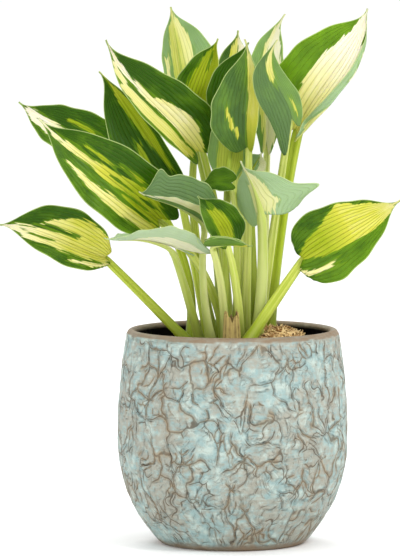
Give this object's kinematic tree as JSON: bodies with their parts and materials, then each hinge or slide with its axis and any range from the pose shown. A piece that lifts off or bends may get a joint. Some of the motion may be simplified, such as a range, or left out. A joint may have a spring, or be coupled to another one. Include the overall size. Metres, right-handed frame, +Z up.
{
  "type": "potted hosta plant",
  "caption": "Hosta with cream-centred green leaves on pale stalks, growing in soil in a nursery pot inside a round, crackled blue-grey stoneware cover pot.",
  "frame": {"origin": "centre of the cover pot's flat foot, on the surface it stands on", "axes": "+Z up; -Y the side that most leaf faces look to; +X to the right, seen from there"},
  "size_m": [0.2746, 0.1598, 0.3683],
  "materials": {
    "stoneware_glaze": "matte",
    "black_plastic": "satin",
    "potting_soil": "matte",
    "husk": "matte",
    "dry_sheath": "matte",
    "leaf_blade": "satin",
    "stalk": "satin"
  },
  "bodies": {
    "root": {"cover_pot": "stoneware_glaze", "nursery_pot": "black_plastic", "soil": "potting_soil", "husk_mulch": "husk", "dry_stump": "dry_sheath", "blade_back_left": "leaf_blade", "blade_back_right": "leaf_blade", "blade_big_left": "leaf_blade", "blade_big_right": "leaf_blade", "blade_centre": "leaf_blade", "blade_centre_low": "leaf_blade", "blade_curled": "leaf_blade", "blade_dark_centre": "leaf_blade", "blade_edge_on": "leaf_blade", "blade_front_folded": "leaf_blade", "blade_front_low": "leaf_blade", "blade_lime_folded": "leaf_blade", "blade_low_left": "leaf_blade", "blade_low_right": "leaf_blade", "blade_rolled": "leaf_blade", "blade_slim": "leaf_blade", "blade_small_back": "leaf_blade", "blade_small_cream": "leaf_blade", "blade_small_dark": "leaf_blade", "blade_spiked": "leaf_blade", "blade_top": "leaf_blade", "blade_upper_left": "leaf_blade", "stalk_back_left": "stalk", "stalk_back_right": "stalk", "stalk_big_left": "stalk", "stalk_big_right": "stalk", "stalk_centre": "stalk", "stalk_centre_low": "stalk", "stalk_curled": "stalk", "stalk_dark_centre": "stalk", "stalk_edge_on": "stalk", "stalk_front_folded": "stalk", "stalk_front_low": "stalk", "stalk_lime_folded": "stalk", "stalk_low_left": "stalk", "stalk_low_right": "stalk", "stalk_rolled": "stalk", "stalk_slim": "stalk", "stalk_small_back": "stalk", "stalk_small_cream": "stalk", "stalk_small_dark": "stalk", "stalk_spiked": "stalk", "stalk_top": "stalk", "stalk_upper_left": "stalk"}
  },
  "joints": []
}
